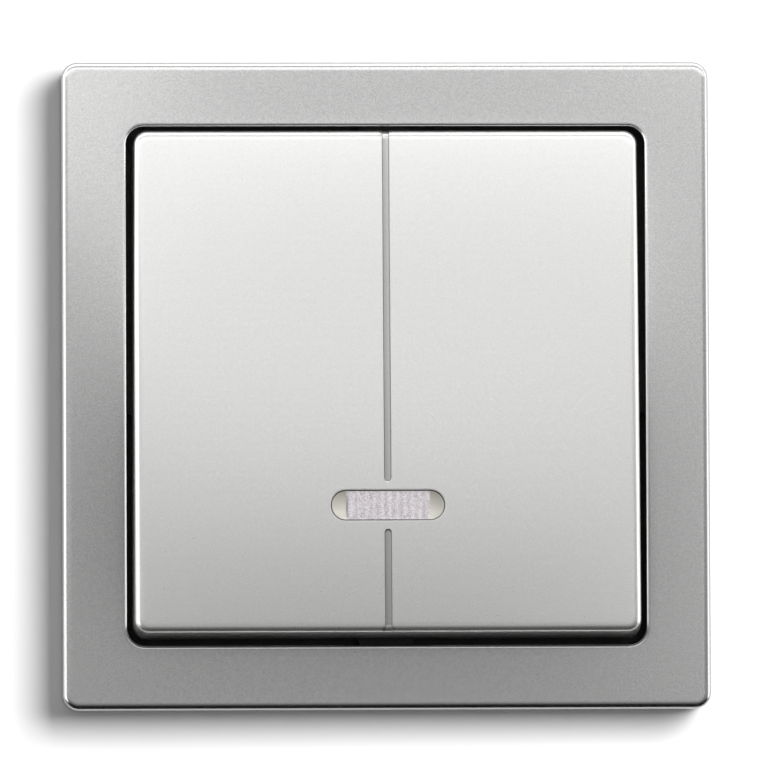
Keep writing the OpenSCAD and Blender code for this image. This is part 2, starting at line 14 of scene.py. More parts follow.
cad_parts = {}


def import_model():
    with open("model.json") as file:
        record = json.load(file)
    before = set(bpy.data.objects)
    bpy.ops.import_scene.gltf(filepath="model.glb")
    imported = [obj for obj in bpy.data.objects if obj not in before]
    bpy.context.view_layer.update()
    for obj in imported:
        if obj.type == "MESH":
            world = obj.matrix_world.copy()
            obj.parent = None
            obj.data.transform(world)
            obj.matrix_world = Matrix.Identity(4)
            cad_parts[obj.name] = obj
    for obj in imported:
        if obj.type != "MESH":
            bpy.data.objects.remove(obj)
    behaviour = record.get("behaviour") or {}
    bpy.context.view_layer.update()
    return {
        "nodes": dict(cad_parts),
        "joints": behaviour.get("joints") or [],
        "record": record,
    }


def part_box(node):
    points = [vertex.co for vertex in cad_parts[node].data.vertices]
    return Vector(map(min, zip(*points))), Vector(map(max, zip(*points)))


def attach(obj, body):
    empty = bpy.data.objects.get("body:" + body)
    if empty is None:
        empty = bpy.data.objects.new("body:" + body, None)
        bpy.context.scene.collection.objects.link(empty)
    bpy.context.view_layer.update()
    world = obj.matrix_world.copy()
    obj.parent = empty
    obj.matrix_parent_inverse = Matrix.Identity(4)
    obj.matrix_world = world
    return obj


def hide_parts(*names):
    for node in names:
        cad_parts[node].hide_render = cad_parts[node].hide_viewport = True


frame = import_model()
nodes = frame["nodes"]
joints = {j["name"]: j for j in frame["joints"]}
MM = 0.001

# ---- Sizes read from the frame, in millimetres ----


def node_box(name):
    """Lowest and highest corner of a CAD node in millimetres."""
    low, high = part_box(name)
    return np.array(low) / MM, np.array(high) / MM


frame_low, frame_high = node_box("cover_frame")
frame_half = frame_high[0]
frame_h = -frame_low[1]
rocker_half = node_box("rocker_cover")[1][0]
pivot_z = -joints["rocker_tilt"]["pos_m"][1] / MM
slide_axis = joints["plunger_slide"]["axis"]
rest_tilt = math.atan2(slide_axis[2], -slide_axis[1])
spring_low, spring_high = node_box("toggle_spring")

# ---- Sizes of the visible pieces, in millimetres ----

SHEET_T = 1.0
BAND = 8.0
FLANGE = 3.0
FRAME_CORNER = 2.0
WINDOW_CORNER = 2.2
FRAME_EDGE = 1.2
FRAME_EASE = 1.9
WINDOW_EDGE = 0.5
WINDOW_EASE = 1.5
RIM_ROUND = 0.1
FLANGE_ROUND = 0.15
ROCKER_DEPTH = 6.5
ROCKER_WALL = 1.5
ROCKER_CORNER = 1.7
ROCKER_EDGE = 1.25
ROCKER_EASE = 1.6
FACE_CORNER = 0.8
SKIRT_ROUND = 0.15
CAVITY_CORNER = 0.8
ROCKER_DRAFT = math.radians(2.8)
PIVOT_DROP = 7.5
RELIEF = (5.0, 9.0)
RELIEF_RISE = 1.9
GROOVE_W = 0.8
GROOVE_DEPTH = 0.45
GROOVE_LAND = 1.1
GROOVE_EASE = 0.12
WINDOW_LIP = 0.05
LENS_W = 14.2
LENS_H = 3.8
LENS_DROP = 15.6
LENS_FLANGE = 1.1
LENS_FLANGE_T = 0.9
LENS_GAP = 0.13
LENS_SINK = 0.02
RIB_SPAN = 10.4
RIBS = 11
RIB_HEIGHT = 0.03
RIB_SINK = 0.05
SCOOP = 0.45
SNAP_R = 1.5
SNAP_AT = (13.0, 14.0)
SNAP_LENGTH = 1.9
SNAP_TIP = 0.3
COIL_R = 1.55
WIRE_R = 0.22
COIL_TURNS = 8

window_half = frame_half - BAND
face_z = pivot_z + PIVOT_DROP
under_z = face_z - ROCKER_WALL
skirt_z = face_z - ROCKER_DEPTH

# ---- Meshes ----


def upright(p, tilted=False):
    """Stands plan points up in the row frame, in metres, first turned to the rocker's rest tilt."""
    x, y, z = p[..., 0], p[..., 1], p[..., 2]
    if tilted:
        c, s = math.cos(-rest_tilt), math.sin(-rest_tilt)
        y, z = y * c - (z - pivot_z) * s, y * s + (z - pivot_z) * c + pivot_z
    return np.stack([x, -z, y], axis=-1) * MM


def grid_faces(rows, cols, wrap_rows, wrap_cols):
    """Quads of a grid of points, closed on itself along either parameter."""
    r = np.arange(rows if wrap_rows else rows - 1)[:, None]
    c = np.arange(cols if wrap_cols else cols - 1)[None, :]
    r2, c2 = (r + 1) % rows, (c + 1) % cols
    quads = np.stack([r * cols + c, r * cols + c2, r2 * cols + c2, r2 * cols + c], axis=-1)
    return quads.reshape(-1, 4)


def piece(name, grids, material, body, stands_for=(), crease=40):
    """A piece from grids of points: each is (points, wrap_rows, wrap_cols), all faces outwards."""
    points, quads, start = [], [], 0
    for p, wrap_rows, wrap_cols in grids:
        rows, cols = p.shape[:2]
        points.append(p.reshape(-1, 3))
        quads.append(grid_faces(rows, cols, wrap_rows, wrap_cols) + start)
        start += rows * cols
    mesh = bpy.data.meshes.new(name)
    mesh.from_pydata(np.concatenate(points).tolist(), [], np.concatenate(quads).tolist())
    work = bmesh.new()
    work.from_mesh(mesh)
    bmesh.ops.remove_doubles(work, verts=work.verts, dist=1e-6)
    bmesh.ops.recalc_face_normals(work, faces=work.faces)
    work.to_mesh(mesh)
    work.free()
    mesh.polygons.foreach_set("use_smooth", [True] * len(mesh.polygons))
    mesh.set_sharp_from_angle(angle=math.radians(crease))
    mesh.materials.append(material)
    obj = bpy.data.objects.new(name, mesh)
    bpy.context.scene.collection.objects.link(obj)
    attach(obj, body)
    if stands_for:
        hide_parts(*stands_for)
    return obj


ARC = 14


def rounded_square(half, radius):
    """Rings of a square with round corners, one ring for each half width and corner radius.

    A corner's points are its centre, (half - radius) out along both axes, plus radius at the angle.
    """
    half, radius = np.broadcast_arrays(np.atleast_1d(half), np.atleast_1d(radius))
    angle = (np.arange(4)[:, None] * 90 + np.linspace(0, 90, ARC)[None, :]) * math.pi / 180
    corner = (np.arange(4)[:, None] * 90 + 45) * math.pi / 180 + 0 * angle
    sx, sy = np.sign(np.cos(corner)).ravel(), np.sign(np.sin(corner)).ravel()
    angle = angle.ravel()
    reach = (half - radius)[:, None]
    x = reach * sx + radius[:, None] * np.cos(angle)
    y = reach * sy + radius[:, None] * np.sin(angle)
    return np.stack([x, y], axis=-1)


def eased_fillet(size, steps, ease):
    """A rounded edge from a flat face to a wall: (across, down) from 0 to size across.

    The tangent turns by 90 degrees times s to the power ease, so the curve leaves the face gently.
    """
    fine = 8
    s = np.linspace(0, 1, fine * steps + 1)
    turn = (math.pi / 2) * s**ease
    mid = (turn[1:] + turn[:-1]) / 2
    across = np.concatenate([[0], np.cumsum(np.cos(mid))])
    down = np.concatenate([[0], np.cumsum(np.sin(mid))])
    scale = size / across[-1]
    return (across * scale)[::fine], (down * scale)[::fine]


def with_height(rings, z):
    """Puts a height on each ring of plan points."""
    z = np.broadcast_to(np.asarray(z, dtype=float).reshape(-1, 1), rings.shape[:2])
    return np.concatenate([rings, z[..., None]], axis=-1)


def mesh_points(mesh):
    """The x, y and z of a mesh's points in millimetres."""
    at = np.empty(len(mesh.vertices) * 3)
    mesh.vertices.foreach_get("co", at)
    return (at.reshape(-1, 3) / MM).T


def mark(mesh, name, values):
    """Stores one number for each point of a mesh, for its material to read."""
    mesh.attributes.new(name, "FLOAT", "POINT").data.foreach_set("value", values)


# ---- Steel frame ----


def frame_grid():
    """The pressed frame: one closed section of the sheet carried round the square."""
    outer_across, outer_down = eased_fillet(FRAME_EDGE, 14, FRAME_EASE)
    inner_across, inner_down = eased_fillet(WINDOW_EDGE, 8, WINDOW_EASE)
    flange_end, sheet_under = frame_h - FLANGE, frame_h - SHEET_T
    inside, inside_corner = frame_half - SHEET_T, FRAME_CORNER - SHEET_T
    flange_out, flange_corner = window_half + SHEET_T, WINDOW_CORNER + SHEET_T
    face_in, corner_in = window_half + WINDOW_EDGE, WINDOW_CORNER + WINDOW_EDGE
    face_out, corner_out = frame_half - FRAME_EDGE, FRAME_CORNER - FRAME_EDGE
    rim, turn = RIM_ROUND, FLANGE_ROUND
    section = [(window_half, flange_end + turn, WINDOW_CORNER)]
    section += [(face_in - a, frame_h - d, corner_in - a)
        for a, d in zip(inner_across[::-1], inner_down[::-1])]
    section += [(face_in + (face_out - face_in) * f, frame_h, corner_in * (1 - f) + corner_out * f)
        for f in np.linspace(0, 1, 7)[1:-1]]
    section += [(face_out + a, frame_h - d, corner_out + a) for a, d in zip(outer_across, outer_down)]
    section += [(frame_half, rim, FRAME_CORNER), (frame_half - rim, 0, FRAME_CORNER - rim),
        (inside + rim, 0, inside_corner + rim), (inside, rim, inside_corner),
        (inside, sheet_under, inside_corner), (flange_out, sheet_under, flange_corner),
        (flange_out, flange_end + turn, flange_corner),
        (flange_out - turn, flange_end, flange_corner - turn),
        (window_half + turn, flange_end, WINDOW_CORNER + turn)]
    half, z, radius = np.array(section).T
    return upright(with_height(rounded_square(half, radius), z))


def mark_window_highlight(mesh):
    """Gives the frame's mesh an attribute for a painted highlight: 1 on its window's rounded edge, 0
    elsewhere.
    """
    start, end = 0.03, 1.2
    x, y, z = mesh_points(mesh)
    below = frame_h + y
    near = np.maximum(np.abs(x), np.abs(z)) < frame_half - BAND / 2
    mark(mesh, "window_highlight", np.clip(below / start, 0, 1) * near * (below < end))


# ---- Rocker ----

NEAR_GROOVE = np.array([0, 0.12, 0.22, 0.28, 0.31, 0.34, 0.37, 0.4, 0.43, 0.46, 0.5, 0.6, 0.85, 1.3])
SPREAD = np.linspace(0, 1, 9)[1:]
SIDE = np.linspace(0, 1, 14)[1:-1]


def side_stations(reach, power):
    """Distances from the middle of a side: the same near the groove, then spread to the reach."""
    near = NEAR_GROOVE[-1]
    out = np.concatenate([NEAR_GROOVE, near + (reach - near) * SPREAD**power])
    return np.concatenate([-out[:0:-1], out])


def lens_ring(grow):
    """The lens window's outline grown outwards, with as many points as square_ring()."""
    r = LENS_H / 2 + grow
    reach = (LENS_W - LENS_H) / 2
    top = side_stations(reach, 1.0)
    turn = np.linspace(0, math.pi, 2 * ARC + len(SIDE) + 1)[1:-1]
    x = np.concatenate([top, reach + r * np.sin(turn), top[::-1], -reach - r * np.sin(turn)])
    y = np.concatenate([0 * top + r, r * np.cos(turn), 0 * top - r, -r * np.cos(turn)])
    return np.stack([x, y - LENS_DROP], axis=-1)


def square_ring(half, radius):
    """A rounded square whose points near the middle of its top and bottom match lens_ring()."""
    reach = half - radius
    top = side_stations(reach, 1.4)
    turn = np.linspace(0, math.pi / 2, ARC + 1)[1:]
    side = reach * (1 - 2 * SIDE)
    x = np.concatenate([reach + radius * np.sin(turn), 0 * side + half, reach + radius * np.cos(turn)])
    y = np.concatenate([reach + radius * np.cos(turn), side, -reach - radius * np.sin(turn)])
    x, y = x[:-1], y[:-1]
    x = np.concatenate([top, x, top[::-1], -x])
    y = np.concatenate([0 * top + half, y, 0 * top - half, -y])
    return np.stack([x, y], axis=-1)


def groove_dip(x, y):
    """Depth of the face's groove at a point, from its distance to the groove's middle line."""
    r = GROOVE_W / 2
    end = LENS_H / 2 + GROOVE_LAND + r
    off = np.abs(y + LENS_DROP)
    distance = np.hypot(x, np.maximum(end - off, 0))
    t = np.clip((r + GROOVE_EASE / 2 - distance) / GROOVE_EASE, 0, 1)
    return GROOVE_DEPTH * t * t * (3 - 2 * t)


def skirt_relief(ring):
    """Rise of the skirt's end: full near the middle of the top and bottom sides, then down to none."""
    x, y = np.abs(ring[:, 0]), np.abs(ring[:, 1])
    slope = np.clip((RELIEF[1] - x) / (RELIEF[1] - RELIEF[0]), 0, 1)
    return RELIEF_RISE * slope * (y > x)


def rocker_grid():
    """The rocker cover: rings that grow from the lens window over the face, skirt and inside.

    Ring t of the face is the mean of the lens outline and the square, weighted 1 - t and t.
    """
    lip = WINDOW_LIP
    rings, height, dips = [], [], []

    def add(ring, z, dip=0.0, lift=0.0):
        """Adds a ring at a height: dip 1 lets the groove into it, lift 1 the skirt's relief."""
        rings.append(ring)
        height.append(z + lift * skirt_relief(ring))
        dips.append(dip)

    across, down = eased_fillet(ROCKER_EDGE, 14, ROCKER_EASE)
    lean = math.tan(ROCKER_DRAFT)
    side_z = face_z - down[-1]
    top_half = rocker_half - (side_z - skirt_z) * lean
    face_half = top_half - ROCKER_EDGE
    add(lens_ring(0), under_z)
    for a in np.linspace(0, math.pi / 2, 5):
        add(lens_ring(lip * (1 - math.cos(a))), face_z - lip * (1 - math.sin(a)))
    steps = np.concatenate([np.linspace(0, 0.02, 6)[1:], np.linspace(0.022, 0.036, 12),
        np.linspace(0.042, 0.072, 5), np.linspace(0.077, 0.112, 14), np.linspace(0.13, 1, 16)])
    inner, outer = lens_ring(lip), square_ring(face_half, FACE_CORNER)
    for t in steps:
        add(inner * (1 - t) + outer * t, face_z, 1.0)
    for a, d in zip(across[1:], down[1:]):
        corner = FACE_CORNER + (ROCKER_CORNER - FACE_CORNER) * a / ROCKER_EDGE
        add(square_ring(face_half + a, corner), face_z - d, 1.0)
    for f, lift in ((0.5, 0), (0.97, 1)):
        drop = (side_z - skirt_z) * f
        add(square_ring(top_half + drop * lean, ROCKER_CORNER), side_z - drop, 0, lift)
    cavity = rocker_half - ROCKER_WALL
    ceiling = square_ring(cavity - 0.6, CAVITY_CORNER)
    add(square_ring(rocker_half - SKIRT_ROUND, ROCKER_CORNER), skirt_z, 0, 1)
    add(square_ring(cavity + SKIRT_ROUND, CAVITY_CORNER), skirt_z, 0, 1)
    add(square_ring(cavity, CAVITY_CORNER), skirt_z + SKIRT_ROUND, 0, 1)
    add(square_ring(cavity - 0.2, CAVITY_CORNER), under_z - 0.4)
    add(ceiling, under_z)
    for t in (0.6, 0.2):
        add(lens_ring(0) * (1 - t) + ceiling * t, under_z)
    plan = np.array(rings)
    z = np.array(height) - np.array(dips)[:, None] * groove_dip(plan[..., 0], plan[..., 1])
    return upright(np.concatenate([plan, z[..., None]], axis=-1), tilted=True)


def mark_groove_shade(mesh):
    """Gives the rocker's mesh the attribute groove for a painted shade: 0 on the face, 1 on the groove's
    floor.
    """
    x, y, z = mesh_points(mesh)
    c, s = math.cos(rest_tilt), math.sin(rest_tilt)
    below = face_z - pivot_z - (z * s + (-y - pivot_z) * c)
    inside = (np.abs(x) < GROOVE_W) * (below < GROOVE_DEPTH + 0.01)
    mark(mesh, "groove", np.clip(below / GROOVE_DEPTH, 0, 1) * inside)


def snap_post_grid(x, y):
    """One snap post behind the rocker cover: a turned profile with a rounded tip."""
    end = under_z - SNAP_LENGTH
    radius = np.array([0, SNAP_R - SNAP_TIP, SNAP_R, SNAP_R, 0])
    z = np.array([end, end, end + SNAP_TIP, under_z, under_z])
    turn = np.linspace(0, 2 * math.pi, 32, endpoint=False)
    p = np.stack([x + radius[:, None] * np.cos(turn), y + radius[:, None] * np.sin(turn),
        z[:, None] + 0 * turn], axis=-1)
    return upright(p, tilted=True)


# ---- Lens ----

LENS_TOP = np.linspace(0, 1, 15)
RIB_STATIONS = 120


def obround(size, w, h):
    """Rings of a round-ended bar: size 0 is its middle line, size 1 its outline."""
    reach = (w - h) / 2
    line = np.linspace(-reach, reach, RIB_STATIONS)
    turn = np.linspace(0, math.pi, 2 * ARC)[1:-1]
    r = size * h / 2
    x = np.concatenate([line, reach + r * np.sin(turn), line[::-1], -reach - r * np.sin(turn)])
    y = np.concatenate([0 * line + r, r * np.cos(turn), 0 * line - r, -r * np.cos(turn)])
    return np.stack([x, y], axis=-1)


def lens_height(x, y):
    """Height of the lens face: cosine ribs in the middle and a round scoop at each end."""
    edge = np.clip((RIB_SPAN / 2 - np.abs(x)) / 0.25, 0, 1)
    ribs = RIB_HEIGHT * np.cos(2 * math.pi * RIBS * x / RIB_SPAN) - RIB_SINK
    from_end = (LENS_W - LENS_H) / 2 - 0.2
    distance = np.hypot(np.abs(x) - from_end, y) / (LENS_H / 2)
    scoop = -SCOOP * np.clip(1 - distance**2, 0, 1)
    return edge * ribs + (1 - edge) * scoop


def lens_grid():
    """The lens: rings from its ribbed face down its side, round its flange and across the back."""
    w, h = LENS_W - 2 * LENS_GAP, LENS_H - 2 * LENS_GAP
    wide, tall = LENS_W + 2 * LENS_FLANGE, LENS_H + 2 * LENS_FLANGE
    flange_top = under_z - 0.01
    rings, z = [], []
    for t in LENS_TOP:
        ring = obround(t, w, h)
        rings.append(ring)
        fade = np.clip((1 - t) / 0.12, 0, 1)
        z.append(face_z - LENS_SINK + lens_height(ring[:, 0], ring[:, 1]) * fade)
    flange_end = under_z - LENS_FLANGE_T
    for ring, level in ((obround(1, w, h), flange_top), (obround(1, wide, tall), flange_top),
            (obround(1, wide, tall), flange_end), (obround(0, w, h), flange_end)):
        rings.append(ring)
        z.append(np.full(len(ring), level))
    plan = np.array(rings) + np.array([0, -LENS_DROP])
    return upright(np.concatenate([plan, np.array(z)[..., None]], axis=-1), tilted=True)


# ---- Spring ----


def spring_grid():
    """The toggle spring: a circle of wire carried along a helix, with closed ends."""
    c, lean = math.cos(rest_tilt), COIL_R * math.sin(rest_tilt)
    length = (spring_high[1] - spring_low[1] - 2 * lean) / c - 2 * WIRE_R
    low_z = -(spring_high[1] - lean - WIRE_R * c)
    low_z = pivot_z + (low_z - pivot_z) / c
    t = np.linspace(0, 1, COIL_TURNS * 28 + 1)[:, None]
    turn = 2 * math.pi * COIL_TURNS * t
    b = np.linspace(0, 2 * math.pi, 12, endpoint=False)[None, :]
    wire = np.full(t.shape, WIRE_R)
    wire[[0, -1]] = 0
    radius = COIL_R + wire * np.cos(b)
    z = low_z + length * t + wire * np.sin(b)
    return upright(np.stack([radius * np.cos(turn), radius * np.sin(turn), z], axis=-1), tilted=True)


# ---- Materials ----


class Paint:
    """A node material under construction: a Principled shader and short ways to feed it."""

    def __init__(self, name, color, roughness, metallic=0.0, **sockets):
        self.material = bpy.data.materials.new(name)
        self.material.use_nodes = True
        self.tree = self.material.node_tree
        self.shader = self.tree.nodes["Principled BSDF"]
        self.shader.inputs["Base Color"].default_value = (*color, 1)
        self.shader.inputs["Roughness"].default_value = roughness
        self.shader.inputs["Metallic"].default_value = metallic
        for socket, value in sockets.items():
            self.shader.inputs[socket.replace("_", " ")].default_value = value
        self.place = self.add("ShaderNodeTexCoord").outputs["Object"]

    def add(self, kind, **values):
        """A new node with these properties."""
        node = self.tree.nodes.new(kind)
        for key, value in values.items():
            setattr(node, key, value)
        return node

    def link(self, a, b):
        self.tree.links.new(a, b)

    def stretched(self, scale):
        """The object's coordinates, scaled on each axis."""
        mapping = self.add("ShaderNodeMapping")
        mapping.inputs["Scale"].default_value = scale
        self.link(self.place, mapping.inputs["Vector"])
        return mapping.outputs["Vector"]

    def noise(self, scale, detail=3, where=None):
        """A cloudy pattern, on the object's coordinates unless others are given."""
        node = self.add("ShaderNodeTexNoise")
        node.inputs["Scale"].default_value = scale
        node.inputs["Detail"].default_value = detail
        self.link(where or self.place, node.inputs["Vector"])
        return node.outputs["Fac"]

    def cells(self, scale):
        """A pattern of small cells, each with one value."""
        node = self.add("ShaderNodeTexVoronoi")
        node.inputs["Scale"].default_value = scale
        self.link(self.place, node.inputs["Vector"])
        return node.outputs["Color"]

    def spread(self, value, low, high, start=0.3, end=0.7):
        """A pattern remapped to a range of numbers."""
        node = self.add("ShaderNodeMapRange")
        for socket, number in zip(("From Min", "From Max", "To Min", "To Max"), (start, end, low, high)):
            node.inputs[socket].default_value = number
        self.link(value, node.inputs["Value"])
        return node.outputs["Result"]

    def axis(self, name):
        """One of the object's coordinates, in metres."""
        split = self.add("ShaderNodeSeparateXYZ")
        self.link(self.place, split.inputs["Vector"])
        return split.outputs[name]

    def size_of(self, value):
        """A number without its sign."""
        node = self.add("ShaderNodeMath", operation="ABSOLUTE")
        self.link(value, node.inputs[0])
        return node.outputs["Value"]

    def stored(self, name):
        """A number stored on the mesh's points."""
        return self.add("ShaderNodeAttribute", attribute_name=name).outputs["Fac"]

    def blend(self, factor, colour, other):
        """A colour pattern that turns into another, or into a plain colour, where the factor is 1."""
        node = self.add("ShaderNodeMix", data_type="RGBA")
        self.link(factor, node.inputs["Factor"])
        self.link(colour, node.inputs["A"])
        if isinstance(other, tuple):
            node.inputs["B"].default_value = (*other, 1)
        else:
            self.link(other, node.inputs["B"])
        return node.outputs["Result"]

    def tint(self, value, dark, light, start=0.3, end=0.7):
        """A pattern turned into a colour between two."""
        node = self.add("ShaderNodeMix", data_type="RGBA")
        self.link(self.spread(value, 0, 1, start, end), node.inputs["Factor"])
        node.inputs["A"].default_value = (*dark, 1)
        node.inputs["B"].default_value = (*light, 1)
        return node.outputs["Result"]

    def colour(self, output):
        self.link(output, self.shader.inputs["Base Color"])

    def rough(self, output):
        self.link(output, self.shader.inputs["Roughness"])

    def bump(self, height, strength, distance):
        node = self.add("ShaderNodeBump")
        node.inputs["Strength"].default_value = strength
        node.inputs["Distance"].default_value = distance
        self.link(height, node.inputs["Height"])
        self.link(node.outputs["Normal"], self.shader.inputs["Normal"])


def satin_steel():
    """Satin ground steel with a fine grain, painted shade on the sheet below the front face and a
    painted highlight on the rounded edge round the window.
    """
    p = Paint("satin_steel", (0.6, 0.6, 0.6), 0.22, 1.0)
    grain = p.noise(9500, 2)
    ground = p.tint(grain, (0.55, 0.55, 0.547), (0.69, 0.69, 0.685), 0.35, 0.65)
    # painted shade: the sheet deeper than about 0.4 mm below the front face, chiefly the outer sides, is
    # coloured darker
    side = p.spread(p.axis("Y"), 0, 1, (0.16 - frame_h) * MM, (0.42 - frame_h) * MM)
    painted_side_shade = p.blend(side, ground, (0.36, 0.36, 0.357))
    # painted highlight: the window's rounded edge is coloured near white
    p.colour(p.blend(p.stored("window_highlight"), painted_side_shade, (0.95, 0.95, 0.945)))
    p.rough(p.spread(p.noise(9000, 2), 0.19, 0.25))
    p.bump(grain, 0.15, 0.000004)
    return p.material


def silver_lacquer():
    """Silver lacquer with fine flakes and a painted shade on the floor of the groove, darker at its left
    side.
    """
    p = Paint("silver_lacquer", (0.72, 0.72, 0.71), 0.3, 0.94, Coat_Weight=0.12, Coat_Roughness=0.15)
    flakes = p.tint(p.cells(12000), (0.68, 0.678, 0.668), (0.77, 0.767, 0.757), 0.1, 0.9)
    half = GROOVE_W / 2 * MM
    # painted shade: the groove's floor is coloured darker, darkest at its left side
    shade = p.tint(p.axis("X"), (0.36, 0.36, 0.355), (0.54, 0.54, 0.535), -half, half)
    p.colour(p.blend(p.spread(p.stored("groove"), 0, 1, 0, 0.3), flakes, shade))
    p.rough(p.spread(p.noise(9000, 2), 0.27, 0.33))
    p.bump(p.noise(9000, 2), 0.1, 0.000004)
    return p.material


def lens_resin():
    """Smoky resin: a sparkling ribbed middle between two smooth, warmer ends with painted shade, darker
    towards the top.
    """
    p = Paint("lens_resin", (0.45, 0.44, 0.41), 0.16, 0.0, IOR=1.5, Coat_Weight=0.3, Coat_Roughness=0.06)
    sparkle = p.tint(p.cells(9500), (0.26, 0.24, 0.25), (0.58, 0.55, 0.57), 0.1, 0.9)
    half = RIB_SPAN / 2
    ends = p.spread(p.size_of(p.axis("X")), 0, 1, (half - 0.1) * MM, (half + 0.1) * MM)
    low, high = -(LENS_DROP + LENS_H / 2) * MM, -(LENS_DROP - LENS_H / 2) * MM
    # painted shade of the end scoops: darker towards the top, lighter towards the bottom
    scoop = p.tint(p.axis("Z"), (0.52, 0.51, 0.46), (0.28, 0.272, 0.24), low, high)
    p.colour(p.blend(ends, sparkle, scoop))
    p.bump(p.noise(1.0, 2, p.stretched((5000, 900, 2600))), 0.4, 0.00002)
    return p.material


def moulding(name, color, grain=2600, roughness=0.45):
    """Moulded plastic: a fine spark-eroded texture and a faint drift of colour."""
    p = Paint(name, color, roughness, 0.0, IOR=1.5)
    dark = tuple(c * 0.93 for c in color)
    p.colour(p.tint(p.noise(140, 4), dark, color))
    p.rough(p.spread(p.noise(grain, 3), roughness - 0.06, roughness + 0.08))
    p.bump(p.noise(grain, 4), 0.25, 0.00003)
    return p.material


def plated(name, dark, light, roughness=0.32, metallic=1.0, grain=(5200, 700, 700)):
    """Plated or rolled metal: streaks of rolling grain with a mottled finish."""
    p = Paint(name, light, roughness, metallic)
    streak = p.noise(1.0, 4, p.stretched(grain))
    p.colour(p.tint(p.noise(420, 5), dark, light))
    p.rough(p.spread(streak, roughness - 0.08, roughness + 0.12))
    p.bump(streak, 0.2, 0.00002)
    return p.material


steel = satin_steel()
lacquer = silver_lacquer()
resin = lens_resin()
black = moulding("black_moulding", (0.012, 0.012, 0.013), 2200, 0.5)
white = moulding("white_moulding", (0.8, 0.79, 0.76), 2400, 0.42)
natural = moulding("natural_moulding", (0.72, 0.7, 0.62), 1800, 0.4)
grey = moulding("grey_moulding", (0.3, 0.31, 0.32), 2400, 0.45)
zinc = plated("zinc_steel", (0.5, 0.52, 0.55), (0.66, 0.67, 0.69))
bright = plated("spring_steel", (0.42, 0.43, 0.44), (0.6, 0.61, 0.62), 0.22)
brass = plated("brass_strip", (0.62, 0.44, 0.18), (0.8, 0.6, 0.27), 0.26)
copper = plated("copper_alloy", (0.62, 0.33, 0.17), (0.8, 0.47, 0.26), 0.28)
tips = plated("contact_silver", (0.7, 0.7, 0.69), (0.86, 0.86, 0.84), 0.25)
diode = moulding("diode_resin", (0.8, 0.84, 0.72), 900, 0.15)
by_slot = {"satin_steel": steel, "silver_lacquer": lacquer, "lens": resin, "black_moulding": black,
    "white_moulding": white, "natural_moulding": natural, "grey_moulding": grey, "zinc_steel": zinc,
    "spring_steel": bright, "brass": brass, "copper_alloy": copper, "contact_silver": tips,
    "diode": diode}

# ---- Pieces ----

sheet = piece("steel_frame", [(frame_grid(), True, True)], steel, "insert",
    ["cover_frame"])
mark_window_highlight(sheet.data)
posts = [(snap_post_grid(sx * SNAP_AT[0], sy * SNAP_AT[1]), False, True)
    for sx in (-1, 1) for sy in (-1, 1)]
rocker = piece("rocker_shell", [(rocker_grid(), True, True)] + posts, lacquer, "rocker",
    ["rocker_cover"])
mark_groove_shade(rocker.data)
piece("ribbed_lens", [(lens_grid(), False, True)], resin, "rocker",
    ["indicator_lens"], 60)
piece("coil_spring", [(spring_grid(), False, True)], bright, "rocker",
    ["toggle_spring"], 60)

replaced = {"cover_frame", "rocker_cover", "indicator_lens", "toggle_spring"}
slot_of = {s["node"]: s["material_slot"] for s in frame["record"]["subparts"]}
SMALL_EDGE = 0.06
EDGE = {"insert_base": 0.25, "rear_cover": 0.25, "insert_cover": 0.2, "frame_carrier": 0.15,
    "rocker_cradle": 0.15, "support_ring": 0.12}
for name, obj in nodes.items():
    obj.data.materials.clear()
    obj.data.materials.append(by_slot[slot_of[name]])
    if name in replaced:
        continue
    weld = obj.modifiers.new("weld", "WELD")
    weld.merge_threshold = 1e-6
    bevel = obj.modifiers.new("edge", "BEVEL")
    bevel.width = EDGE.get(name, SMALL_EDGE) * MM
    bevel.segments = 2
    bevel.limit_method = "ANGLE"
    bevel.angle_limit = math.radians(50)
    bevel.harden_normals = False

# ---- Studio ----


def wall():
    """A one-sided white wall just behind the frame's rim, open behind the frame, clear from behind."""
    size, gap, hole = 1.2, 0.0002, (frame_half - 0.9) * MM
    mesh = bpy.data.meshes.new("wall_face")
    turns = ((-1, -1), (1, -1), (1, 1), (-1, 1))
    corners = [(x * r, gap, z * r) for r in (size, hole) for x, z in turns]
    mesh.from_pydata(corners, [], [(i, (i + 1) % 4, (i + 1) % 4 + 4, i + 4) for i in range(4)])
    obj = bpy.data.objects.new("wall_face", mesh)
    bpy.context.scene.collection.objects.link(obj)
    p = Paint("wall_paint", (0.86, 0.86, 0.86), 0.9)
    clear = p.add("ShaderNodeBsdfTransparent")
    side = p.add("ShaderNodeNewGeometry")
    mix = p.add("ShaderNodeMixShader")
    p.link(side.outputs["Backfacing"], mix.inputs["Fac"])
    p.link(p.shader.outputs["BSDF"], mix.inputs[1])
    p.link(clear.outputs["BSDF"], mix.inputs[2])
    p.link(mix.outputs["Shader"], p.tree.nodes["Material Output"].inputs["Surface"])
    mesh.materials.append(p.material)


